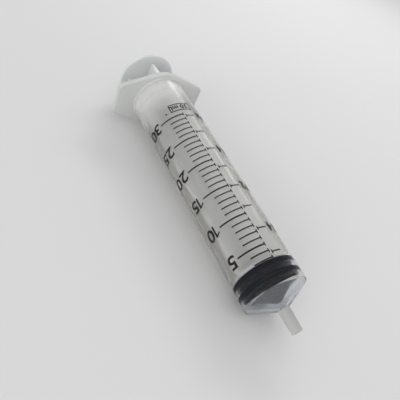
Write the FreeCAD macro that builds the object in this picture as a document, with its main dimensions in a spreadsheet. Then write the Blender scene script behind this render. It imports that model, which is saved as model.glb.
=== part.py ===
import FreeCAD, Part
import math
import os
import re

import Sketcher

# A 30 mL slip-tip syringe lying on its side.
# Origin: centre of the open end of the tip. +X runs along the axis from the tip to the
# thumb disc, +Z is up and the wings of the finger flange point along +Y and -Y.

# Driving dimensions in millimetres and degrees

SIZES = {
    # Barrel tube
    "bore_radius": 11.0,
    "tube_wall": 1.05,
    "shoulder_x": 13.4,
    "shoulder_round": 0.5,
    "cone_wall": 1.2,
    "mouth_chamfer": 0.4,
    # Slip tip
    "tip_length": 8.5,
    "tip_end_radius": 2.0,
    "tip_base_radius": 2.26,
    "tip_round": 0.2,
    "fluid_radius": 1.05,
    # Finger flange
    "flange_x": 116.8,
    "flange_thickness": 2.3,
    "flange_radius": 14.1,
    "wing_reach": 20.9,
    "wing_half_width": 7.05,
    "wing_round": 2.5,
    "flange_edge_round": 0.6,
    # Retaining bead in the open end of the bore
    "bead_x": 113.4,
    "bead_height": 0.3,
    "bead_length": 1.6,
    "bead_top": 0.5,
    # Printed scale: the angles are measured about +X from straight up
    "zero_x": 14.7,
    "capacity_ml": 30.0,
    "long_step_ml": 5.0,
    "ink_depth": 0.1,
    "line_width": 0.5,
    "long_line_width": 0.6,
    "zero_line_width": 0.62,
    "zero_start": -66.5,
    "zero_end": 8.0,
    "long_start": -63.7,
    "short_start": -45.8,
    "rail_angle": -13.0,
    "dash_width": 0.4,
    "dash_share": 0.62,
    "ounce_start": -8.6,
    "ounce_end": 8.7,
    "ounce_ml": 29.5735,
    "ounce_parts": 8.0,
    # Rubber stopper
    "seal_clearance": 0.04,
    "stopper_nose_x": 11.45,
    "stopper_nose_radius": 1.0,
    "stopper_cone_radius": 8.8,
    "stopper_groove_radius": 10.2,
    "stopper_wall": 2.2,
    "front_rib_x": 16.2,
    "front_rib_length": 2.5,
    "groove_length": 1.5,
    "rear_rib_length": 2.4,
    "rib_round": 0.35,
    # Snap head of the rod, seated in the stopper
    "neck_radius": 5.6,
    "neck_length": 2.6,
    "head_radius": 7.2,
    "head_length": 2.0,
    "head_nose_radius": 4.4,
    "head_nose_length": 1.8,
    "head_clearance": 0.3,
    "seat_clearance": 0.05,
    # Plunger rod
    "disc_radius": 10.35,
    "disc_thickness": 1.5,
    "rib_half_width": 9.6,
    "rib_thickness": 1.5,
    "guide_disc_x": 108.6,
    "thumb_x": 131.9,
    "thumb_thickness": 2.0,
    "thumb_radius": 13.5,
    "thumb_round": 0.7,
}

# Sizes that follow from the others

DERIVED = {
    "tube_radius": "bore_radius + tube_wall",
    "flange_rear_x": "flange_x + flange_thickness",
    "cone_slope": "(shoulder_x - tip_length) / (tube_radius - tip_base_radius)",
    "cone_shift": "cone_wall * sqrt(1 + cone_slope ^ 2)",
    "inner_cone_x": "tip_length + (bore_radius - tip_base_radius) * cone_slope + cone_shift",
    "fluid_end_x": "tip_length + (fluid_radius - tip_base_radius) * cone_slope + cone_shift",
    "bead_slope_length": "(bead_length - bead_top) / 2",
    "ml_pitch": "1000 / (pi * bore_radius ^ 2)",
    "print_radius": "tube_radius + ink_depth",
    "long_count": "capacity_ml / long_step_ml",
    "ounce_pitch": "ml_pitch * ounce_ml / ounce_parts",
    "dash_length": "ml_pitch * dash_share",
    "dash_turn": "dash_width / tube_radius * 180 / pi",
    "rib_radius": "bore_radius - seal_clearance",
    "stopper_cone_slope": "(front_rib_x - stopper_nose_x) / (stopper_cone_radius - stopper_nose_radius)",
    "groove_x": "front_rib_x + front_rib_length",
    "rear_rib_x": "groove_x + groove_length",
    "stopper_rear_x": "rear_rib_x + rear_rib_length",
    "front_disc_x": "stopper_rear_x + seat_clearance",
    "head_rear_x": "front_disc_x - neck_length",
    "head_front_x": "head_rear_x - head_length",
    "head_nose_x": "head_front_x - head_nose_length",
    "seat_radius": "head_radius + head_clearance",
    "mouth_radius": "neck_radius + head_clearance",
    "seat_rear_x": "head_rear_x + seat_clearance",
    "seat_front_x": "front_rib_x - (stopper_cone_radius - seat_radius) * stopper_cone_slope + stopper_wall",
    "seat_nose_x": "seat_front_x - (seat_radius - stopper_nose_radius) * stopper_cone_slope",
    "thumb_rear_x": "thumb_x + thumb_thickness",
}

doc = FreeCAD.newDocument("syringe")
sheet = doc.addObject("Spreadsheet::Sheet", "Sizes")


def fill_sheet():
    """Write every size in a row of its own: name, value, alias."""
    row = 1
    for name, value in SIZES.items():
        sheet.set("A%d" % row, name)
        sheet.set("B%d" % row, str(value))
        sheet.setAlias("B%d" % row, name)
        row += 1
    for name, formula in DERIVED.items():
        sheet.set("A%d" % row, name)
        sheet.set("B%d" % row, "=" + formula)
        sheet.setAlias("B%d" % row, name)
        row += 1
    doc.recompute()


fill_sheet()

# Helpers for formulas over the sheet


def linked(formula):
    """The formula with each size's name written as a reference to the sheet."""
    def reference(match):
        word = match.group(0)
        return "Sizes." + word if word in SIZES or word in DERIVED else word
    return re.sub(r"[a-z_]+", reference, formula)


def value(formula):
    """Present number of a formula."""
    return float(sheet.evalExpression(linked(formula)))


def bind(item, prop, formula):
    item.setExpression(prop, linked(formula))


# Helpers for bodies and sketches


def new_body(label):
    body = doc.addObject("PartDesign::Body", label)
    body.Label = label
    return body


def origin_feature(body, role):
    for feature in body.Origin.OriginFeatures:
        if feature.Role == role:
            return feature
    raise RuntimeError("no origin feature " + role)


def new_sketch(body, name, plane):
    sketch = body.newObject("Sketcher::SketchObject", name)
    sketch.AttachmentSupport = [(origin_feature(body, plane), "")]
    sketch.MapMode = "FlatFace"
    return sketch


def dimension(sketch, name, kind, entities, formula):
    """Named dimension bound to a formula."""
    number = value(formula)
    index = sketch.addConstraint(Sketcher.Constraint(kind, *entities, number))
    sketch.renameConstraint(index, name)
    bind(sketch, "Constraints." + name, formula)


def place_point(sketch, line, point, name, across, along):
    """Dimension a point from the sketch's origin; a zero puts it on the axis."""
    if abs(value(across)) < 1e-9:
        sketch.addConstraint(Sketcher.Constraint("PointOnObject", line, point, -2))
    else:
        dimension(sketch, name + "_across", "DistanceX", (-1, 1, line, point), across)
    if abs(value(along)) < 1e-9:
        sketch.addConstraint(Sketcher.Constraint("PointOnObject", line, point, -1))
    else:
        dimension(sketch, name + "_along", "DistanceY", (-1, 1, line, point), along)


def outline(sketch, corners):
    """Closed straight-sided outline through corners given as pairs of formulas."""
    first = sketch.GeometryCount
    count = len(corners)
    points = [FreeCAD.Vector(value(a), value(b), 0) for a, b in corners]
    for i in range(count):
        sketch.addGeometry(Part.LineSegment(points[i], points[(i + 1) % count]), False)
    for i in range(count):
        joint = ("Coincident", first + i, 2, first + (i + 1) % count, 1)
        sketch.addConstraint(Sketcher.Constraint(*joint))
    for i, (across, along) in enumerate(corners):
        place_point(sketch, first + i, 1, "corner%d" % (first + i), across, along)


def revolved(body, name, corners):
    """Full turn of an (x, radius) outline about the X axis."""
    sketch = new_sketch(body, name + "_outline", "XZ_Plane")
    outline(sketch, corners)
    feature = body.newObject("PartDesign::Revolution", name)
    feature.Profile = sketch
    feature.ReferenceAxis = (origin_feature(body, "X_Axis"), [""])
    feature.Angle = 360.0
    return feature


def round_edges(body, name, radius, wanted):
    """Round the edges of the body's tip that the test picks."""
    doc.recompute()
    base = body.Tip
    names = []
    for number, edge in enumerate(base.Shape.Edges):
        if wanted(edge):
            names.append("Edge%d" % (number + 1))
    if not names:
        raise RuntimeError("no edges for " + name)
    feature = body.newObject("PartDesign::Fillet", name)
    feature.Base = (base, names)
    bind(feature, "Radius", radius)
    doc.recompute()
    return feature


def ring_at(x, radius):
    """Test for a full circle about the X axis."""
    def wanted(edge):
        if not isinstance(edge.Curve, Part.Circle):
            return False
        centre = edge.Curve.Center
        on_axis = abs(centre.y) + abs(centre.z) < 1e-4
        return on_axis and abs(centre.x - x) < 1e-4 and abs(edge.Curve.Radius - radius) < 1e-4
    return wanted


# Barrel: tube, cone, slip tip and flange in one moulding

barrel = new_body("barrel")
revolved(barrel, "tube", [
    ("0", "fluid_radius"),
    ("0", "tip_end_radius"),
    ("tip_length", "tip_base_radius"),
    ("shoulder_x", "tube_radius"),
    ("flange_rear_x", "tube_radius"),
    ("flange_rear_x", "bore_radius + mouth_chamfer"),
    ("flange_rear_x - mouth_chamfer", "bore_radius"),
    ("bead_x + bead_length", "bore_radius"),
    ("bead_x + bead_length - bead_slope_length", "bore_radius - bead_height"),
    ("bead_x + bead_slope_length", "bore_radius - bead_height"),
    ("bead_x", "bore_radius"),
    ("inner_cone_x", "bore_radius"),
    ("fluid_end_x", "fluid_radius"),
])
round_edges(barrel, "shoulder_edge", "shoulder_round",
            ring_at(value("shoulder_x"), value("tube_radius")))
round_edges(barrel, "tip_edge", "tip_round", ring_at(0.0, value("tip_end_radius")))


def flange_outline(sketch):
    """Round middle with straight sides that run tangent from it to two cut-off wings."""
    reach = value("wing_reach")
    half = value("wing_half_width")
    radius = value("flange_radius")
    corner_angle = math.atan2(half, reach)
    touch = corner_angle + math.acos(radius / math.hypot(reach, half))
    centre = FreeCAD.Vector(0, 0, 0)
    normal = FreeCAD.Vector(0, 0, 1)
    circle = Part.Circle(centre, normal, radius)

    def at(angle):
        return FreeCAD.Vector(radius * math.cos(angle), radius * math.sin(angle), 0)

    corners = [
        FreeCAD.Vector(reach, half, 0),
        FreeCAD.Vector(-reach, half, 0),
        FreeCAD.Vector(-reach, -half, 0),
        FreeCAD.Vector(reach, -half, 0),
    ]
    pieces = [
        Part.LineSegment(corners[0], at(touch)),
        Part.ArcOfCircle(circle, touch, math.pi - touch),
        Part.LineSegment(at(math.pi - touch), corners[1]),
        Part.LineSegment(corners[1], corners[2]),
        Part.LineSegment(corners[2], at(math.pi + touch)),
        Part.ArcOfCircle(circle, math.pi + touch, 2 * math.pi - touch),
        Part.LineSegment(at(2 * math.pi - touch), corners[3]),
        Part.LineSegment(corners[3], corners[0]),
    ]
    for piece in pieces:
        sketch.addGeometry(piece, False)
    ties = [
        ("Tangent", 0, 2, 1, 1),
        ("Tangent", 1, 2, 2, 1),
        ("Coincident", 2, 2, 3, 1),
        ("Coincident", 3, 2, 4, 1),
        ("Tangent", 4, 2, 5, 1),
        ("Tangent", 5, 2, 6, 1),
        ("Coincident", 6, 2, 7, 1),
        ("Coincident", 7, 2, 0, 1),
        ("Coincident", 1, 3, -1, 1),
        ("Coincident", 5, 3, -1, 1),
    ]
    for tie in ties:
        sketch.addConstraint(Sketcher.Constraint(*tie))
    dimension(sketch, "upper_radius", "Radius", (1,), "flange_radius")
    dimension(sketch, "lower_radius", "Radius", (5,), "flange_radius")
    place_point(sketch, 0, 1, "right_upper", "wing_reach", "wing_half_width")
    place_point(sketch, 3, 1, "left_upper", "-wing_reach", "wing_half_width")
    place_point(sketch, 4, 1, "left_lower", "-wing_reach", "-wing_half_width")
    place_point(sketch, 7, 1, "right_lower", "wing_reach", "-wing_half_width")
    sketch.addGeometry(Part.Circle(centre, normal, value("bore_radius + tube_wall / 2")), False)
    sketch.addConstraint(Sketcher.Constraint("Coincident", 8, 3, -1, 1))
    dimension(sketch, "inner_radius", "Radius", (8,), "bore_radius + tube_wall / 2")


flange_sketch = new_sketch(barrel, "flange_outline", "YZ_Plane")
bind(flange_sketch, "AttachmentOffset.Base.z", "flange_x")
flange_outline(flange_sketch)
flange = barrel.newObject("PartDesign::Pad", "flange")
flange.Profile = flange_sketch
bind(flange, "Length", "flange_thickness")


def wing_corner(edge):
    """Short edges along X at the four corners of the wings."""
    ends = [v.Point for v in edge.Vertexes]
    if len(ends) != 2 or abs(ends[0].x - ends[1].x) < 1e-3:
        return False
    return all(abs(abs(p.y) - value("wing_reach")) < 1e-3 for p in ends)


def flange_rim(edge):
    """Outer edges of the flange's two faces."""
    box = edge.BoundBox
    if box.XLength > 1e-4:
        return False
    x = box.XMin
    on_face = min(abs(x - value("flange_x")), abs(x - value("flange_rear_x"))) < 1e-4
    middle = edge.valueAt((edge.FirstParameter + edge.LastParameter) / 2)
    return on_face and math.hypot(middle.y, middle.z) > value("flange_radius") - 0.1


round_edges(barrel, "wing_corners", "wing_round", wing_corner)
round_edges(barrel, "flange_edges", "flange_edge_round", flange_rim)

# Printed scale: raised ink on the outside of the tube


def ring_sketch(body, name, turn):
    """Sketch through the X axis, turned about it from straight up."""
    sketch = new_sketch(body, name, "XZ_Plane")
    sketch.AttachmentOffset = FreeCAD.Placement(
        FreeCAD.Vector(0, 0, 0), FreeCAD.Rotation(FreeCAD.Vector(1, 0, 0), value(turn)))
    bind(sketch, "AttachmentOffset.Rotation.Angle", turn)
    return sketch


def ink_line(body, name, x, width, start, end):
    """Line printed round the tube from one angle to another."""
    sketch = ring_sketch(body, name + "_section", start)
    outline(sketch, [
        ("%s - (%s) / 2" % (x, width), "tube_radius"),
        ("%s - (%s) / 2" % (x, width), "print_radius"),
        ("%s + (%s) / 2" % (x, width), "print_radius"),
        ("%s + (%s) / 2" % (x, width), "tube_radius"),
    ])
    feature = body.newObject("PartDesign::Revolution", name)
    feature.Profile = sketch
    feature.ReferenceAxis = (origin_feature(body, "X_Axis"), [""])
    bind(feature, "Angle", "%s - (%s)" % (end, start))
    return feature


def repeat(body, name, feature, pitch, count):
    """Equal steps along X."""
    pattern = body.newObject("PartDesign::LinearPattern", name)
    pattern.Originals = [feature]
    pattern.Direction = (origin_feature(body, "X_Axis"), [""])
    pattern.Mode = "Spacing"
    bind(pattern, "Offset", pitch)
    bind(pattern, "Occurrences", count)
    body.Tip = pattern
    return pattern


scale = new_body("printed_scale")
scale.AllowCompound = True
ink_line(scale, "zero_line", "zero_x", "zero_line_width", "zero_start", "zero_end")
short_tick = ink_line(scale, "short_tick", "zero_x + ml_pitch", "line_width",
                      "short_start", "rail_angle")
repeat(scale, "short_ticks", short_tick, "ml_pitch", "capacity_ml")
long_tick = ink_line(scale, "long_tick", "zero_x + ml_pitch * long_step_ml", "long_line_width",
                     "long_start", "rail_angle")
repeat(scale, "long_ticks", long_tick, "ml_pitch * long_step_ml", "long_count")
dash = ink_line(scale, "dash", "zero_x + ml_pitch", "dash_length",
                "rail_angle - dash_turn / 2", "rail_angle + dash_turn / 2")
repeat(scale, "dashes", dash, "ml_pitch", "capacity_ml")
ounce_tick = ink_line(scale, "ounce_tick", "zero_x + ounce_pitch", "line_width",
                      "ounce_start", "ounce_end")
repeat(scale, "ounce_ticks", ounce_tick, "ounce_pitch", "ounce_parts")
ounce_dash = ink_line(scale, "ounce_dash", "zero_x + ounce_pitch", "dash_length",
                      "ounce_start - dash_turn / 2", "ounce_start + dash_turn / 2")
repeat(scale, "ounce_dashes", ounce_dash, "ounce_pitch", "ounce_parts")

# Stopper: rubber, conical front, two sealing ribs and a seat for the snap head

stopper = new_body("stopper")
revolved(stopper, "stopper_turned", [
    ("stopper_nose_x", "0"),
    ("stopper_nose_x", "stopper_nose_radius"),
    ("front_rib_x", "stopper_cone_radius"),
    ("front_rib_x", "rib_radius"),
    ("groove_x", "rib_radius"),
    ("groove_x", "stopper_groove_radius"),
    ("rear_rib_x", "stopper_groove_radius"),
    ("rear_rib_x", "rib_radius"),
    ("stopper_rear_x", "rib_radius"),
    ("stopper_rear_x", "mouth_radius"),
    ("seat_rear_x", "mouth_radius"),
    ("seat_rear_x", "seat_radius"),
    ("seat_front_x", "seat_radius"),
    ("seat_nose_x", "stopper_nose_radius"),
    ("seat_nose_x", "0"),
])


def rib_rings(edge):
    return any(ring_at(value(x), value("rib_radius"))(edge)
               for x in ("front_rib_x", "groove_x", "rear_rib_x", "stopper_rear_x"))


round_edges(stopper, "rib_edges", "rib_round", rib_rings)

# Plunger rod: snap head, front disc, crossed ribs, guide disc and thumb disc in one moulding

rod = new_body("plunger_rod")
revolved(rod, "head_and_front_disc", [
    ("head_nose_x", "0"),
    ("head_nose_x", "head_nose_radius"),
    ("head_front_x", "head_radius"),
    ("head_rear_x", "head_radius"),
    ("head_rear_x", "neck_radius"),
    ("front_disc_x", "neck_radius"),
    ("front_disc_x", "disc_radius"),
    ("front_disc_x + disc_thickness", "disc_radius"),
    ("front_disc_x + disc_thickness", "0"),
])


def rib(body, name, plane):
    """Flat rib through the axis, from the front disc to the thumb disc."""
    sketch = new_sketch(body, name + "_outline", plane)
    outline(sketch, [
        ("front_disc_x + disc_thickness / 2", "rib_half_width"),
        ("thumb_x + thumb_thickness / 2", "rib_half_width"),
        ("thumb_x + thumb_thickness / 2", "-rib_half_width"),
        ("front_disc_x + disc_thickness / 2", "-rib_half_width"),
    ])
    feature = body.newObject("PartDesign::Pad", name)
    feature.Profile = sketch
    feature.Midplane = True
    bind(feature, "Length", "rib_thickness")
    return feature


rib(rod, "upright_rib", "XZ_Plane")
rib(rod, "level_rib", "XY_Plane")


def disc(body, name, x, thickness, radius):
    """Round plate square to the axis."""
    return revolved(body, name, [
        (x, "0"),
        (x, radius),
        ("%s + %s" % (x, thickness), radius),
        ("%s + %s" % (x, thickness), "0"),
    ])


disc(rod, "guide_disc", "guide_disc_x", "disc_thickness", "disc_radius")
disc(rod, "thumb_disc", "thumb_x", "thumb_thickness", "thumb_radius")


def thumb_rings(edge):
    return any(ring_at(value(x), value("thumb_radius"))(edge)
               for x in ("thumb_x", "thumb_rear_x"))


round_edges(rod, "thumb_edges", "thumb_round", thumb_rings)

# Checks before writing

doc.recompute()
for item in doc.Objects:
    if "Invalid" in item.State or "Error" in item.State:
        raise RuntimeError("%s failed: %s" % (item.Name, item.State))

parts = [barrel, scale, stopper, rod]
for body in parts:
    if body.Shape.isNull() or not body.Shape.isValid():
        raise RuntimeError(body.Label + " has no valid shape")

os.makedirs("parts", exist_ok=True)
for body in parts:
    body.Shape.exportStep("parts/%s.step" % body.Label)
    box = body.Shape.optimalBoundingBox(False)
    print("%-14s solids %2d  volume %8.1f mm3  x %.2f..%.2f  y %.2f..%.2f  z %.2f..%.2f" % (
        body.Label, len(body.Shape.Solids), body.Shape.Volume,
        box.XMin, box.XMax, box.YMin, box.YMax, box.ZMin, box.ZMax))
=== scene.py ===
import math

import bmesh
import bpy
from mathutils import Matrix, Vector


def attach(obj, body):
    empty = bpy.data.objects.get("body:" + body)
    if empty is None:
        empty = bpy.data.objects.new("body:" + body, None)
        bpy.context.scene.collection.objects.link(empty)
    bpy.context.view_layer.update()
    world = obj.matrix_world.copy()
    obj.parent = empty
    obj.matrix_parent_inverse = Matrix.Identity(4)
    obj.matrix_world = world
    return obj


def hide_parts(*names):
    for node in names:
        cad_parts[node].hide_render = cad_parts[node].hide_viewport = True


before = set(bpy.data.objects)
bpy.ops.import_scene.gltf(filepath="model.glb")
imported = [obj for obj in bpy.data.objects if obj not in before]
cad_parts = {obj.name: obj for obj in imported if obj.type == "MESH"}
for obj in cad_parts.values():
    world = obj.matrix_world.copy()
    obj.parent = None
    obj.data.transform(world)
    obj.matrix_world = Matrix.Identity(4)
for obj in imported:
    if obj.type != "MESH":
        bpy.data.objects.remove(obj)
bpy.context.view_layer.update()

MM = 0.001

# Sizes in millimetres, as in the solids

# Barrel tube, cone and slip tip
BORE_RADIUS = 11.0
TUBE_RADIUS = 12.05
SHOULDER_X = 13.4
CONE_WALL = 1.2
MOUTH_CHAMFER = 0.4
TIP_LENGTH = 8.5
TIP_END_RADIUS = 2.0
TIP_BASE_RADIUS = 2.26
FLUID_RADIUS = 1.05

# Finger flange
FLANGE_X = 116.8
FLANGE_REAR_X = 119.1
FLANGE_RADIUS = 14.1
WING_REACH = 20.9
WING_HALF_WIDTH = 7.05
WING_ROUND = 2.5
FLANGE_EDGE = 0.6

# Retaining bead in the open end of the bore
BEAD_X = 113.4
BEAD_LENGTH = 1.6
BEAD_TOP = 0.5
BEAD_HEIGHT = 0.3

# Rubber stopper; it is squeezed against the bore, so no air shows between them
PRESSED_RADIUS = BORE_RADIUS + 0.03
STOPPER_NOSE_X = 11.45
STOPPER_NOSE_RADIUS = 1.0
STOPPER_CONE_RADIUS = 8.8
STOPPER_GROOVE_RADIUS = 10.2
FRONT_RIB_X = 16.2
GROOVE_X = 18.7
REAR_RIB_X = 20.2
STOPPER_REAR_X = 22.6
MOUTH_RADIUS = 5.9
SEAT_RADIUS = 7.5
SEAT_REAR_X = 20.1
SEAT_FRONT_X = 17.6
SEAT_NOSE_X = 13.65

# Plunger rod with its snap head
HEAD_NOSE_X = 16.25
HEAD_NOSE_RADIUS = 4.4
HEAD_FRONT_X = 18.05
HEAD_REAR_X = 20.05
HEAD_RADIUS = 7.2
NECK_RADIUS = 5.6
FRONT_DISC_X = 22.65
GUIDE_DISC_X = 108.6
DISC_RADIUS = 10.35
DISC_THICKNESS = 1.5
RIB_HALF_WIDTH = 9.6
RIB_HALF_THICKNESS = 0.75
THUMB_X = 131.9
THUMB_THICKNESS = 2.0
THUMB_RADIUS = 13.5
THUMB_ROUND = 0.7

# Printed scale; the angles are measured in degrees about +X from straight up
CAPACITY_ML = 30
LONG_STEP_ML = 5
OUNCE_ML = 29.5735
OUNCE_PARTS = 8
ML_PITCH = 1000.0 / (math.pi * BORE_RADIUS ** 2)
ZERO_X = 14.7
ZERO_START = -66.5
ZERO_END = 8.0
LONG_START = -63.7
SHORT_START = -45.8
ML_RAIL = -13.0
OUNCE_RAIL = -8.6
OUNCE_END = 8.7
LINE_WIDTH = 0.5
LONG_LINE_WIDTH = 0.6
ZERO_LINE_WIDTH = 0.62
DASH_WIDTH = 0.4
DASH_SHARE = 0.62

# Printed letters: weight is in the font's own unit, and gap and space are shares of the height
ML_LETTERS = {"height": 4.6, "weight": 0.02, "stretch": 1.25, "gap": 0.07}
OUNCE_LETTERS = {"height": 3.5, "weight": 0.045, "stretch": 1.0, "gap": 0.1}
BOX_LETTERS = {"height": 2.2, "weight": 0.035, "stretch": 1.0, "gap": 0.12}
SPACE_SHARE = 0.3
ML_LETTERS_START = -67.5
OUNCE_LETTERS_END = 14.0
BOX_LETTERS_START = 5.5

# Printed box with its line, and the dot beside it
BOX_FRONT_X = 96.1
BOX_REAR_X = 100.3
BOX_START = -33.5
BOX_END = 12.0
BOX_LINE = 0.45
DOT_FRONT_X = 96.3
DOT_REAR_X = 97.0
DOT_START = -45.2
DOT_END = -41.8

# Ink lies between these heights over the tube and follows it in steps of this length and turn
INK_LOW = 0.01
INK_HIGH = 0.05
LETTER_STEP = 0.5
LINE_STEP_DEG = 2.0

# The bore is glossy with oil where the stopper rests, and frosted and milkier further on
OILED_END_X = 22.0
FROST_START_X = 26.0
OIL_GLOSS = 0.35
FROSTED_SHARE = 0.92

# Sizes that follow from the others

CONE_SLOPE = (SHOULDER_X - TIP_LENGTH) / (TUBE_RADIUS - TIP_BASE_RADIUS)
CONE_SHIFT = CONE_WALL * math.sqrt(1 + CONE_SLOPE ** 2)
INNER_CONE_X = TIP_LENGTH + (BORE_RADIUS - TIP_BASE_RADIUS) * CONE_SLOPE + CONE_SHIFT
FLUID_END_X = TIP_LENGTH + (FLUID_RADIUS - TIP_BASE_RADIUS) * CONE_SLOPE + CONE_SHIFT

# Fineness of the meshes

ROUND_STEPS = 5
TURNED_COUNT = 144
THUMB_COUNT = 192
BARREL_COUNT = 180
SHARP_ANGLE = math.radians(32.0)
FONT_STEPS = 4

# Mesh helpers

ON_AXIS = 1e-9


def shade(mesh):
    """Smooth shading that stops at the sharp edges."""
    for polygon in mesh.polygons:
        polygon.use_smooth = True
    mesh.set_sharp_from_angle(angle=SHARP_ANGLE)


def finish_mesh(name, bm):
    """Turn a bmesh in millimetres into a smooth-shaded object in metres."""
    bmesh.ops.recalc_face_normals(bm, faces=bm.faces)
    bmesh.ops.scale(bm, vec=(MM, MM, MM), verts=bm.verts)
    mesh = bpy.data.meshes.new(name)
    bm.to_mesh(mesh)
    bm.free()
    shade(mesh)
    obj = bpy.data.objects.new(name, mesh)
    bpy.context.scene.collection.objects.link(obj)
    return obj


def rounded(corners):
    """Closed outline through (x, radius, rounding) corners, with the rounded ones as arcs."""
    points = []
    count = len(corners)
    for i, (x, r, rounding) in enumerate(corners):
        here = Vector((x, r))
        if rounding <= 0:
            points.append((x, r))
            continue
        before = Vector(corners[i - 1][:2]) - here
        after = Vector(corners[(i + 1) % count][:2]) - here
        before.normalize()
        after.normalize()
        half = before.angle(after) / 2
        reach = rounding / math.tan(half)
        start = here + before * reach
        end = here + after * reach
        centre = here + (before + after).normalized() * (rounding / math.sin(half))
        a = math.atan2(start.y - centre.y, start.x - centre.x)
        b = math.atan2(end.y - centre.y, end.x - centre.x)
        turn = (b - a + math.pi) % (2 * math.pi) - math.pi
        for k in range(ROUND_STEPS + 1):
            angle = a + turn * k / ROUND_STEPS
            points.append((centre.x + rounding * math.cos(angle),
                           centre.y + rounding * math.sin(angle)))
    return points


def steady(radius):
    """Radius function of a circle."""
    return lambda angle: radius


def turned(outline):
    """Outline of a round body, with its radii as functions of the angle."""
    return [(x, steady(r)) for x, r in outline]


def even_angles(count):
    return [2 * math.pi * k / count for k in range(count)]


def at_angle(x, radius, angle):
    """Point round the X axis; the angle runs from straight up, turning about +X."""
    return Vector((x, -radius * math.sin(angle), radius * math.cos(angle)))


def lathe(bm, outline, angles, slots=None):
    """Closed surface round the X axis through (x, radius function) points."""
    rings = []
    for x, radius in outline:
        if abs(radius(0.0)) < ON_AXIS:
            rings.append([bm.verts.new((x, 0, 0))])
        else:
            rings.append([bm.verts.new(at_angle(x, radius(a), a)) for a in angles])
    count = len(angles)
    for place, (one, two) in enumerate(zip(rings, rings[1:] + rings[:1])):
        if len(one) == 1 and len(two) == 1:
            continue
        first_new = len(bm.faces)
        for k in range(count):
            n = (k + 1) % count
            if len(one) == 1:
                bm.faces.new((one[0], two[n], two[k]))
            elif len(two) == 1:
                bm.faces.new((one[k], one[n], two[0]))
            else:
                bm.faces.new((one[k], one[n], two[n], two[k]))
        if slots:
            bm.faces.ensure_lookup_table()
            for face in bm.faces[first_new:]:
                face.material_index = slots[place]


def turned_object(name, corners, count=TURNED_COUNT):
    """Round body through (x, radius, rounding) corners."""
    bm = bmesh.new()
    lathe(bm, turned(rounded(corners)), even_angles(count))
    return finish_mesh(name, bm)


def union(base, others):
    """Join closed meshes into one closed mesh."""
    for other in others:
        modifier = base.modifiers.new("join", "BOOLEAN")
        modifier.operation = "UNION"
        modifier.solver = "EXACT"
        modifier.object = other
    bpy.context.view_layer.update()
    evaluated = base.evaluated_get(bpy.context.evaluated_depsgraph_get())
    mesh = bpy.data.meshes.new_from_object(evaluated)
    base.modifiers.clear()
    base.data = mesh
    for other in others:
        bpy.data.objects.remove(other)
    shade(mesh)
    return base


# Flange outline: a round middle with straight sides to two cut-off wings

WING_CORNER = math.atan2(WING_HALF_WIDTH, WING_REACH)
SIDE_ANGLE = WING_CORNER + math.acos(FLANGE_RADIUS / math.hypot(WING_REACH, WING_HALF_WIDTH))

# The angles are closer together for this many steps on both sides of a wing's corner
CORNER_STEPS = 8
CORNER_STEP = math.radians(0.75)
LEAST_STEP = math.radians(0.3)
ANGLE_DIGITS = 6


def flange_reach(inset):
    """Radius function of the outline drawn in by inset."""
    end = WING_REACH - inset
    side = FLANGE_RADIUS - inset
    corner_round = WING_ROUND - inset
    normal = Vector((math.cos(SIDE_ANGLE), math.sin(SIDE_ANGLE)))
    centre_y = end - corner_round
    centre = Vector((centre_y, (side - corner_round - centre_y * normal.x) / normal.y))
    first = math.atan2(centre.y, end)
    touch = centre + normal * corner_round
    second = math.atan2(touch.y, touch.x)

    def radius(angle):
        # Fold the angle into the first quarter, measured from the wing's direction
        across = abs(math.sin(angle))
        up = abs(math.cos(angle))
        folded = math.atan2(up, across)
        if folded <= first:
            return end / math.cos(folded)
        if folded < second:
            ray = Vector((math.cos(folded), math.sin(folded)))
            along = ray.dot(centre)
            return along + math.sqrt(along ** 2 - centre.length_squared + corner_round ** 2)
        if folded < SIDE_ANGLE:
            return side / math.cos(folded - SIDE_ANGLE)
        return side
    return radius


def flange_angles():
    """Even turns with closer ones at the rounded corners."""
    angles = set(round(a, ANGLE_DIGITS) for a in even_angles(BARREL_COUNT))
    for k in range(-CORNER_STEPS, CORNER_STEPS + 1):
        folded = WING_CORNER + CORNER_STEP * k
        for quarter in (math.pi / 2 - folded, math.pi / 2 + folded,
                        3 * math.pi / 2 - folded, 3 * math.pi / 2 + folded):
            angles.add(round(quarter % (2 * math.pi), ANGLE_DIGITS))
    ordered = sorted(angles)
    kept = [ordered[0]]
    for a in ordered[1:]:
        if a - kept[-1] > LEAST_STEP:
            kept.append(a)
    return kept


def flange_edge(face_x, into):
    """Rounded edge from the flange's rim to the face at face_x; into is +1 or -1 along X."""
    edge = []
    for k in range(ROUND_STEPS + 1):
        a = math.pi / 2 * k / ROUND_STEPS
        edge.append((face_x + into * FLANGE_EDGE * (1 - math.sin(a)),
                     flange_reach(FLANGE_EDGE * (1 - math.cos(a)))))
    return edge


# Barrel: one closed mesh with a plastic of its own for each stretch

TUBE_OUTSIDE = 0
BORE = 1
CONE = 2
TIP = 3
FLANGE = 4

# Rings that lead the flange's faces over to its outline
INNER_RING = 12.7
OUTER_RING = 13.1

# The tip's plastic ends before its base, and the cone's and flange's reach over their edges
TIP_MARGIN = 0.2
CONE_MARGIN = 0.2
FLANGE_MARGIN = 0.4

# Last ring of the outline, inside the fluid bore
FLUID_MIDDLE_X = 4.0


def barrel_slot(middle, inside):
    """Plastic of the stretch whose middle is at this X."""
    if middle > FLANGE_X - FLANGE_MARGIN:
        return FLANGE
    if middle < TIP_LENGTH - TIP_MARGIN:
        return TIP
    if middle < SHOULDER_X + CONE_MARGIN:
        return CONE
    return BORE if inside else TUBE_OUTSIDE


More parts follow.
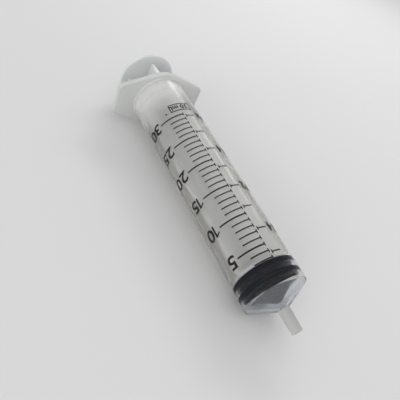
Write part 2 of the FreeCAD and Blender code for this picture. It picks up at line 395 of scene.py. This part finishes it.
def build_barrel():
    front = rounded([
        (0.0, FLUID_RADIUS, 0.12),
        (0.0, TIP_END_RADIUS, 0.25),
        (TIP_LENGTH, TIP_BASE_RADIUS, 0.35),
        (SHOULDER_X, TUBE_RADIUS, 0.5),
        (FLANGE_X, TUBE_RADIUS, 0.5),
        (FLANGE_X, INNER_RING, 0.0),
        (FLANGE_X, OUTER_RING, 0.0),
    ])
    rim = flange_edge(FLANGE_X, 1)[::-1] + flange_edge(FLANGE_REAR_X, -1)
    bead_rear_x = BEAD_X + BEAD_LENGTH
    bead_slope = (BEAD_LENGTH - BEAD_TOP) / 2
    bead_radius = BORE_RADIUS - BEAD_HEIGHT
    rear = rounded([
        (FLANGE_REAR_X, OUTER_RING, 0.0),
        (FLANGE_REAR_X, BORE_RADIUS + MOUTH_CHAMFER, 0.1),
        (FLANGE_REAR_X - MOUTH_CHAMFER, BORE_RADIUS, 0.1),
        (bead_rear_x, BORE_RADIUS, 0.1),
        (bead_rear_x - bead_slope, bead_radius, 0.2),
        (BEAD_X + bead_slope, bead_radius, 0.2),
        (BEAD_X, BORE_RADIUS, 0.1),
        (INNER_CONE_X, BORE_RADIUS, 0.5),
        (FLUID_END_X, FLUID_RADIUS, 0.4),
        (FLUID_MIDDLE_X, FLUID_RADIUS, 0.0),
    ])
    outline = turned(front) + rim + turned(rear)
    places = [x for x, radius in outline]
    slots = []
    for k, (x, after_x) in enumerate(zip(places, places[1:] + places[:1])):
        slots.append(barrel_slot((x + after_x) / 2, k > len(front) + len(rim)))
    bm = bmesh.new()
    lathe(bm, outline, flange_angles(), slots)
    return finish_mesh("barrel_shell", bm)


# Stopper and plunger rod


def build_stopper():
    return turned_object("stopper_rubber", [
        (STOPPER_NOSE_X, 0.0, 0.0),
        (STOPPER_NOSE_X, STOPPER_NOSE_RADIUS, 0.4),
        (FRONT_RIB_X, STOPPER_CONE_RADIUS, 0.25),
        (FRONT_RIB_X, PRESSED_RADIUS, 0.5),
        (GROOVE_X, PRESSED_RADIUS, 0.5),
        (GROOVE_X, STOPPER_GROOVE_RADIUS, 0.25),
        (REAR_RIB_X, STOPPER_GROOVE_RADIUS, 0.25),
        (REAR_RIB_X, PRESSED_RADIUS, 0.5),
        (STOPPER_REAR_X, PRESSED_RADIUS, 0.35),
        (STOPPER_REAR_X, MOUTH_RADIUS, 0.3),
        (SEAT_REAR_X, MOUTH_RADIUS, 0.3),
        (SEAT_REAR_X, SEAT_RADIUS, 0.2),
        (SEAT_FRONT_X, SEAT_RADIUS, 0.4),
        (SEAT_NOSE_X, STOPPER_NOSE_RADIUS, 0.3),
        (SEAT_NOSE_X, 0.0, 0.0),
    ])


def disc_corners(x, thickness, radius, rounding):
    """Corners of a disc whose front face is at x."""
    rear_x = x + thickness
    return [(x, 0.0, 0.0), (x, radius, rounding), (rear_x, radius, rounding), (rear_x, 0.0, 0.0)]


def rib_mesh(name, upright):
    """Flat rib through the axis, from the front disc to the thumb disc."""
    start_x = FRONT_DISC_X + DISC_THICKNESS / 2
    end_x = THUMB_X + THUMB_THICKNESS / 2
    outline = [(start_x, RIB_HALF_WIDTH), (end_x, RIB_HALF_WIDTH),
               (end_x, -RIB_HALF_WIDTH), (start_x, -RIB_HALF_WIDTH)]
    bm = bmesh.new()
    sides = []
    for half in (-RIB_HALF_THICKNESS, RIB_HALF_THICKNESS):
        side = []
        for x, reach in outline:
            side.append(bm.verts.new((x, half, reach) if upright else (x, reach, half)))
        sides.append(side)
        bm.faces.new(side)
    count = len(outline)
    for k in range(count):
        n = (k + 1) % count
        bm.faces.new((sides[0][k], sides[0][n], sides[1][n], sides[1][k]))
    return finish_mesh(name, bm)


def build_rod():
    front = turned_object("plunger_moulding", [
        (HEAD_NOSE_X, 0.0, 0.0),
        (HEAD_NOSE_X, HEAD_NOSE_RADIUS, 0.4),
        (HEAD_FRONT_X, HEAD_RADIUS, 0.3),
        (HEAD_REAR_X, HEAD_RADIUS, 0.2),
        (HEAD_REAR_X, NECK_RADIUS, 0.2),
        (FRONT_DISC_X, NECK_RADIUS, 0.2),
        (FRONT_DISC_X, DISC_RADIUS, 0.25),
        (FRONT_DISC_X + DISC_THICKNESS, DISC_RADIUS, 0.25),
        (FRONT_DISC_X + DISC_THICKNESS, 0.0, 0.0),
    ])
    guide = turned_object("guide", disc_corners(GUIDE_DISC_X, DISC_THICKNESS, DISC_RADIUS, 0.3))
    thumb = turned_object(
        "thumb", disc_corners(THUMB_X, THUMB_THICKNESS, THUMB_RADIUS, THUMB_ROUND), THUMB_COUNT)
    upright = rib_mesh("upright", True)
    level = rib_mesh("level", False)
    return union(front, [upright, level, guide, thumb])


# Printed scale and numbers, laid on the tube


def ink_patch(bm, x0, x1, deg0, deg1):
    """Thin curved slab on the tube."""
    steps = max(1, int(math.ceil(abs(deg1 - deg0) / LINE_STEP_DEG)))
    low = []
    high = []
    for k in range(steps + 1):
        a = math.radians(deg0 + (deg1 - deg0) * k / steps)
        low.append([bm.verts.new(at_angle(x, TUBE_RADIUS + INK_LOW, a)) for x in (x0, x1)])
        high.append([bm.verts.new(at_angle(x, TUBE_RADIUS + INK_HIGH, a)) for x in (x0, x1)])
    for k in range(steps):
        bm.faces.new((high[k][0], high[k][1], high[k + 1][1], high[k + 1][0]))
        bm.faces.new((low[k][0], low[k + 1][0], low[k + 1][1], low[k][1]))
        bm.faces.new((low[k][0], high[k][0], high[k + 1][0], low[k + 1][0]))
        bm.faces.new((low[k][1], low[k + 1][1], high[k + 1][1], high[k][1]))
    bm.faces.new((low[0][0], low[0][1], high[0][1], high[0][0]))
    bm.faces.new((low[-1][0], high[-1][0], high[-1][1], low[-1][1]))


def build_scale():
    bm = bmesh.new()
    half_zero = ZERO_LINE_WIDTH / 2
    half_line = LINE_WIDTH / 2
    half_long = LONG_LINE_WIDTH / 2
    half_dash = ML_PITCH * DASH_SHARE / 2
    half_turn = math.degrees(DASH_WIDTH / TUBE_RADIUS) / 2
    ink_patch(bm, ZERO_X - half_zero, ZERO_X + half_zero, ZERO_START, ZERO_END)
    for ml in range(1, CAPACITY_ML + 1):
        x = ZERO_X + ML_PITCH * ml
        is_long = ml % LONG_STEP_ML == 0
        start, half = (LONG_START, half_long) if is_long else (SHORT_START, half_line)
        ink_patch(bm, x - half, x + half, start, ML_RAIL - half_turn)
        ink_patch(bm, x - half_dash, x + half_dash, ML_RAIL - half_turn, ML_RAIL + half_turn)
    for part in range(1, OUNCE_PARTS + 1):
        x = ZERO_X + ML_PITCH * OUNCE_ML * part / OUNCE_PARTS
        ink_patch(bm, x - half_line, x + half_line, OUNCE_RAIL + half_turn, OUNCE_END)
        ink_patch(bm, x - half_dash, x + half_dash, OUNCE_RAIL - half_turn, OUNCE_RAIL + half_turn)
    return finish_mesh("scale_lines", bm)


# Outline of a 1 with a flag, in shares of the digits' height
ONE = [(0.25, 0.0), (0.39, 0.0), (0.39, 1.0), (0.27, 1.0), (0.0, 0.80), (0.0, 0.66), (0.25, 0.83)]


def font_mesh(character, weight):
    """Filled character of the built-in font, one unit in size."""
    curve = bpy.data.curves.new("letter", "FONT")
    curve.body = character
    curve.size = 1.0
    curve.fill_mode = "FRONT"
    curve.resolution_u = FONT_STEPS
    curve.offset = weight
    holder = bpy.data.objects.new("letter", curve)
    bpy.context.scene.collection.objects.link(holder)
    bpy.context.view_layer.update()
    mesh = bpy.data.meshes.new_from_object(holder.evaluated_get(
        bpy.context.evaluated_depsgraph_get()))
    bpy.data.objects.remove(holder)
    return mesh


def digit_height():
    mesh = font_mesh("5", 0.0)
    heights = [v.co.y for v in mesh.vertices]
    return max(heights) - min(heights)


DIGIT_HEIGHT = digit_height()


def flat_character(character, height, weight):
    """Character as a flat bmesh that starts at u = 0, and its width."""
    bm = bmesh.new()
    if character == "1":
        face = bm.faces.new([bm.verts.new((u * height, v * height, 0)) for u, v in ONE])
        face.normal_update()
        bmesh.ops.triangulate(bm, faces=[face])
        return bm, ONE[1][0] * height
    mesh = font_mesh(character, weight)
    bm.from_mesh(mesh)
    bpy.data.meshes.remove(mesh)
    scale = height / DIGIT_HEIGHT
    low = min(v.co.x for v in bm.verts)
    width = (max(v.co.x for v in bm.verts) - low) * scale
    for v in bm.verts:
        v.co = Vector(((v.co.x - low) * scale, v.co.y * scale, 0))
    return bm, width


def flat_words(words, height, weight, stretch, gap):
    """Words as flat characters with their starts, and the whole width."""
    pen = 0.0
    placed = []
    for character in words:
        if character == " ":
            pen += SPACE_SHARE * height
            continue
        bm, width = flat_character(character, height, weight)
        for v in bm.verts:
            v.co.x *= stretch
        placed.append((bm, pen))
        pen += width * stretch + gap * height
    return placed, pen - gap * height


def print_words(bm_all, words, x_middle, letters, deg_start=None, deg_end=0.0):
    """Words round the tube, tops towards the tip, reading the way the angle falls.

    They start at deg_start, or else they end at deg_end.
    """
    placed, length = flat_words(words, **letters)
    if deg_start is None:
        deg_start = deg_end + math.degrees(length / TUBE_RADIUS)
    for bm, pen in placed:
        width = max(v.co.x for v in bm.verts)
        cut = LETTER_STEP
        while cut < width:
            bmesh.ops.bisect_plane(bm, geom=bm.verts[:] + bm.edges[:] + bm.faces[:],
                                   plane_co=(cut, 0, 0), plane_no=(1, 0, 0))
            cut += LETTER_STEP
        grown = bmesh.ops.extrude_face_region(bm, geom=bm.faces[:])
        top = set(v for v in grown["geom"] if isinstance(v, bmesh.types.BMVert))
        for v in bm.verts:
            radius = TUBE_RADIUS + (INK_HIGH if v in top else INK_LOW)
            angle = math.radians(deg_start) - (pen + v.co.x) / TUBE_RADIUS
            v.co = at_angle(x_middle + letters["height"] / 2 - v.co.y, radius, angle)
        mesh = bpy.data.meshes.new("letter")
        bm.to_mesh(mesh)
        bm.free()
        bm_all.from_mesh(mesh)
        bpy.data.meshes.remove(mesh)


def print_frame(bm, x0, x1, deg0, deg1, line):
    """Printed outline of a box."""
    turn = math.degrees(line / TUBE_RADIUS)
    ink_patch(bm, x0, x0 + line, deg0, deg1)
    ink_patch(bm, x1 - line, x1, deg0, deg1)
    ink_patch(bm, x0 + line, x1 - line, deg0, deg0 + turn)
    ink_patch(bm, x0 + line, x1 - line, deg1 - turn, deg1)


def build_numbers():
    bm = bmesh.new()
    for ml in range(LONG_STEP_ML, CAPACITY_ML + 1, LONG_STEP_ML):
        x = ZERO_X + ML_PITCH * ml
        print_words(bm, str(ml), x, ML_LETTERS, deg_start=ML_LETTERS_START)
    for part, words in ((2, "1/4"), (4, "1/2"), (6, "3/4"), (8, "1 oz")):
        x = ZERO_X + ML_PITCH * OUNCE_ML * part / OUNCE_PARTS
        print_words(bm, words, x, OUNCE_LETTERS, deg_end=OUNCE_LETTERS_END)
    print_frame(bm, BOX_FRONT_X, BOX_REAR_X, BOX_START, BOX_END, BOX_LINE)
    box_middle_x = (BOX_FRONT_X + BOX_REAR_X) / 2
    print_words(bm, "30 mL", box_middle_x, BOX_LETTERS, deg_start=BOX_LETTERS_START)
    ink_patch(bm, DOT_FRONT_X, DOT_REAR_X, DOT_START, DOT_END)
    return finish_mesh("scale_numbers", bm)


# Materials

# A low index keeps the clear plastic, which has no scattering inside, from looking like glass
MILKY_IOR = 1.25
ROD_IOR = 1.49


class Nodes:
    """Short way to add nodes to a material and link them."""

    def __init__(self, name):
        self.material = bpy.data.materials.new(name)
        self.material.use_nodes = True
        self.tree = self.material.node_tree
        self.shader = self.tree.nodes["Principled BSDF"]

    def add(self, kind, **values):
        node = self.tree.nodes.new(kind)
        for key, value in values.items():
            setattr(node, key, value)
        return node

    def link(self, source, target):
        self.tree.links.new(source, target)

    def product(self, one, two):
        node = self.add("ShaderNodeMath", operation="MULTIPLY")
        self.link(one, node.inputs[0])
        self.link(two, node.inputs[1])
        return node.outputs[0]

    def noise(self, scale, detail=4.0, rough=0.55, stretch=(1, 1, 1)):
        where = self.add("ShaderNodeTexCoord").outputs["Object"]
        mapping = self.add("ShaderNodeMapping")
        mapping.inputs["Scale"].default_value = stretch
        self.link(where, mapping.inputs["Vector"])
        node = self.add("ShaderNodeTexNoise")
        node.inputs["Scale"].default_value = scale
        node.inputs["Detail"].default_value = detail
        node.inputs["Roughness"].default_value = rough
        self.link(mapping.outputs[0], node.inputs["Vector"])
        return node.outputs[0]

    def ramp(self, source, stops):
        node = self.add("ShaderNodeValToRGB")
        elements = node.color_ramp.elements
        while len(elements) < len(stops):
            elements.new(0.5)
        for element, (position, color) in zip(elements, stops):
            element.position = position
            element.color = (*color, 1.0)
        self.link(source, node.inputs[0])
        return node.outputs[0]

    def spread(self, source, low, high):
        node = self.add("ShaderNodeMapRange")
        node.inputs["To Min"].default_value = low
        node.inputs["To Max"].default_value = high
        self.link(source, node.inputs["Value"])
        return node.outputs[0]

    def fade(self, start, end, low, high):
        """Value that goes smoothly from low to high between two places along X."""
        along = self.add("ShaderNodeSeparateXYZ")
        self.link(self.add("ShaderNodeTexCoord").outputs["Object"], along.inputs[0])
        node = self.add("ShaderNodeMapRange", interpolation_type="SMOOTHSTEP")
        self.link(along.outputs["X"], node.inputs["Value"])
        node.inputs["From Min"].default_value = start * MM
        node.inputs["From Max"].default_value = end * MM
        node.inputs["To Min"].default_value = low
        node.inputs["To Max"].default_value = high
        return node.outputs[0]

    def bump(self, source, strength, distance):
        node = self.add("ShaderNodeBump")
        node.inputs["Strength"].default_value = strength
        node.inputs["Distance"].default_value = distance
        self.link(source, node.inputs["Height"])
        self.link(node.outputs[0], self.shader.inputs["Normal"])

    def set(self, name, value):
        self.shader.inputs[name].default_value = value

    def feed(self, name, source):
        self.link(source, self.shader.inputs[name])


def milky_plastic(name, color, through, rough, bump, milk_start=None, end_through=0.0, oiled=False):
    """Moulded translucent plastic; through is the share of light that goes into it.

    From milk_start to the flange that share changes to end_through. An oiled one is glossy
    near the stopper, and a little milkier further on.
    """
    n = Nodes(name)
    tint = n.noise(45.0, detail=4.0, rough=0.6, stretch=(0.3, 1, 1))
    n.feed("Base Color", n.ramp(tint, [
        (0.30, [c - 0.03 for c in color]),
        (0.55, color),
        (0.75, [c + 0.02 for c in color]),
    ]))
    roughness = n.spread(n.noise(300.0, detail=3.0), *rough)
    if oiled:
        roughness = n.product(roughness, n.fade(OILED_END_X, FROST_START_X, OIL_GLOSS, 1.0))
    n.feed("Roughness", roughness)
    if milk_start is None:
        n.set("Transmission Weight", through)
    else:
        share = n.fade(milk_start, FLANGE_X, through, end_through)
        if oiled:
            share = n.product(share, n.fade(OILED_END_X, FROST_START_X, 1.0, FROSTED_SHARE))
        n.feed("Transmission Weight", share)
    n.set("IOR", MILKY_IOR)
    grain = n.noise(90.0, detail=3.0, rough=0.5, stretch=(0.15, 1, 1))
    n.bump(grain, strength=bump, distance=0.0004)
    return n.material


def barrel_plastics():
    """Materials of the barrel's stretches, in the order of their slots."""
    return [
        milky_plastic("clear_tube_wall", (0.98, 0.98, 0.97), through=1.0,
                      rough=(0.08, 0.14), bump=0.01, milk_start=92.0, end_through=0.68),
        milky_plastic("frosted_bore", (0.98, 0.97, 0.935), through=1.0,
                      rough=(0.6, 0.7), bump=0.05, milk_start=94.0, end_through=0.5, oiled=True),
        milky_plastic("clear_cone", (0.785, 0.81, 0.85), through=0.92, rough=(0.12, 0.18), bump=0.0),
        milky_plastic("milky_tip", (0.58, 0.58, 0.57), through=0.30, rough=(0.25, 0.35), bump=0.03),
        milky_plastic("dense_flange", (0.76, 0.77, 0.75), through=0.35, rough=(0.35, 0.5), bump=0.05),
    ]


def rod_material():
    """White-grey moulded plastic of the plunger."""
    n = Nodes("plunger_plastic")
    cloud = n.noise(70.0, detail=4.0, rough=0.55, stretch=(0.4, 1, 1))
    n.feed("Base Color", n.ramp(cloud, [
        (0.30, (0.55, 0.56, 0.56)),
        (0.60, (0.59, 0.60, 0.595)),
        (0.80, (0.63, 0.64, 0.635)),
    ]))
    n.feed("Roughness", n.spread(n.noise(260.0, detail=3.0), 0.40, 0.55))
    n.set("Subsurface Weight", 0.9)
    n.set("Subsurface Radius", (1.0, 1.0, 1.0))
    n.set("Subsurface Scale", 0.005)
    n.set("IOR", ROD_IOR)
    n.bump(n.noise(420.0), strength=0.08, distance=0.0003)
    return n.material


def rubber_material():
    """Near-black rubber, faintly blue, with a fine dull grain."""
    n = Nodes("stopper_rubber")
    cloud = n.noise(180.0, detail=5.0, rough=0.6)
    n.feed("Base Color", n.ramp(cloud, [
        (0.30, (0.004, 0.0055, 0.0095)),
        (0.60, (0.006, 0.008, 0.015)),
        (0.85, (0.010, 0.0125, 0.021)),
    ]))
    n.feed("Roughness", n.spread(n.noise(500.0), 0.5, 0.7))
    n.set("Specular IOR Level", 0.12)
    n.bump(n.noise(900.0), strength=0.15, distance=0.0002)
    return n.material


def ink_material():
    """Dark brown-black print, slightly uneven."""
    n = Nodes("scale_ink")
    cloud = n.noise(900.0, detail=4.0, rough=0.6)
    n.feed("Base Color", n.ramp(cloud, [
        (0.30, (0.010, 0.008, 0.006)),
        (0.60, (0.020, 0.016, 0.013)),
        (0.80, (0.040, 0.034, 0.028)),
    ]))
    n.feed("Roughness", n.spread(n.noise(700.0, detail=3.0), 0.55, 0.75))
    n.set("Specular IOR Level", 0.25)
    return n.material


def floor_material():
    """Plain pale grey, a little cloudy."""
    n = Nodes("pale_floor")
    cloud = n.noise(3.0, detail=2.0)
    n.feed("Base Color", n.ramp(cloud, [
        (0.3, (0.69, 0.69, 0.69)),
        (0.7, (0.72, 0.72, 0.71)),
    ]))
    n.set("Roughness", 0.9)
    return n.material


# The dressed pieces on their bodies


def dress(obj, materials, body, slot, *nodes):
    for material in materials:
        obj.data.materials.append(material)
    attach(obj, body)
    if nodes:
        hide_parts(*nodes)


ink = ink_material()
dress(build_barrel(), barrel_plastics(), "barrel", "barrel_plastic", "barrel")
dress(build_stopper(), [rubber_material()], "stopper", "rubber", "stopper")
dress(build_rod(), [rod_material()], "plunger", "rod_plastic", "plunger_rod")
dress(build_scale(), [ink], "barrel", "ink", "printed_scale")
dress(build_numbers(), [ink], "barrel", "ink")

# Floor: it touches the flange's lower edge and the tube's front edge, as the real one lies

FLOOR_HALF_SIDE = 1.5
FLOOR_CELLS = 24
FRONT_TOUCH_X = SHOULDER_X + 0.3
FRONT_TOUCH = Vector((FRONT_TOUCH_X, 0, -TUBE_RADIUS)) * MM
REAR_TOUCH = Vector(((FLANGE_X + FLANGE_REAR_X) / 2, 0, -FLANGE_RADIUS)) * MM


def build_floor():
    along = (REAR_TOUCH - FRONT_TOUCH).normalized()
    normal = Vector((-along.z, 0, along.x))
    bm = bmesh.new()
    bmesh.ops.create_grid(bm, x_segments=FLOOR_CELLS, y_segments=FLOOR_CELLS, size=FLOOR_HALF_SIDE)
    turn = Vector((0, 0, 1)).rotation_difference(normal).to_matrix().to_4x4()
    bmesh.ops.transform(bm, matrix=Matrix.Translation(REAR_TOUCH) @ turn, verts=bm.verts)
    mesh = bpy.data.meshes.new("floor")
    bm.to_mesh(mesh)
    bm.free()
    obj = bpy.data.objects.new("floor", mesh)
    bpy.context.scene.collection.objects.link(obj)
    obj.data.materials.append(floor_material())


build_floor()

# Light: an even pale surround, a large lamp above, a long one past the thumb disc and one at the side

SURROUND_COLOR = (0.98, 0.98, 1.0, 1.0)
SURROUND_STRENGTH = 0.67
MIDDLE = (0.065, 0.0, 0.0)

scene = bpy.context.scene


def build_surround():
    world = bpy.data.worlds.new("surround")
    world.use_nodes = True
    background = world.node_tree.nodes["Background"]
    background.inputs["Color"].default_value = SURROUND_COLOR
    background.inputs["Strength"].default_value = SURROUND_STRENGTH
    scene.world = world


def area_lamp(name, place, width, height, power, color=(1, 1, 1), spread_deg=180.0):
    """Rectangular lamp that shines at the part's middle; sizes in metres, power in watts."""
    lamp = bpy.data.lights.new(name, "AREA")
    lamp.shape = "RECTANGLE"
    lamp.size = width
    lamp.size_y = height
    lamp.energy = power
    lamp.color = color
    lamp.spread = math.radians(spread_deg)
    obj = bpy.data.objects.new(name, lamp)
    obj.location = place
    obj.rotation_euler = (Vector(MIDDLE) - Vector(place)).to_track_quat("-Z", "Y").to_euler()
    scene.collection.objects.link(obj)


build_surround()
area_lamp("key", (-0.40, 0.30, 0.62), width=1.1, height=1.1, power=1.2, color=(1.0, 0.99, 0.97))
area_lamp("strip", (0.43, -0.38, 0.38), width=0.5, height=0.12, power=1.15)
area_lamp("side", (-0.30, 0.90, 0.30), width=0.7, height=0.5, power=0.85, spread_deg=80.0)

# Camera: placed and turned as the photograph was taken

CAMERA_PLACE = Vector((-19.783, 95.647, 107.677)) * MM
CAMERA_RIGHT = Vector((-0.43218896, -0.82624702, 0.36128739))
CAMERA_DOWN = Vector((-0.75851077, 0.11639262, -0.64118186))
CAMERA_AHEAD = Vector((0.48772341, -0.5511521, -0.67702086))
SENSOR_WIDTH = 36.0
FOCAL_LENGTH = 37.6065
CLIP_START = 0.005


def build_camera():
    camera = bpy.data.cameras.new("camera")
    camera.sensor_fit = "HORIZONTAL"
    camera.sensor_width = SENSOR_WIDTH
    camera.lens = FOCAL_LENGTH
    camera.clip_start = CLIP_START
    obj = bpy.data.objects.new("camera", camera)
    turn = Matrix((CAMERA_RIGHT, -CAMERA_DOWN, -CAMERA_AHEAD)).transposed().to_4x4()
    obj.matrix_world = Matrix.Translation(CAMERA_PLACE) @ turn
    scene.collection.objects.link(obj)
    scene.camera = obj


build_camera()

scene.view_settings.view_transform = "Standard"
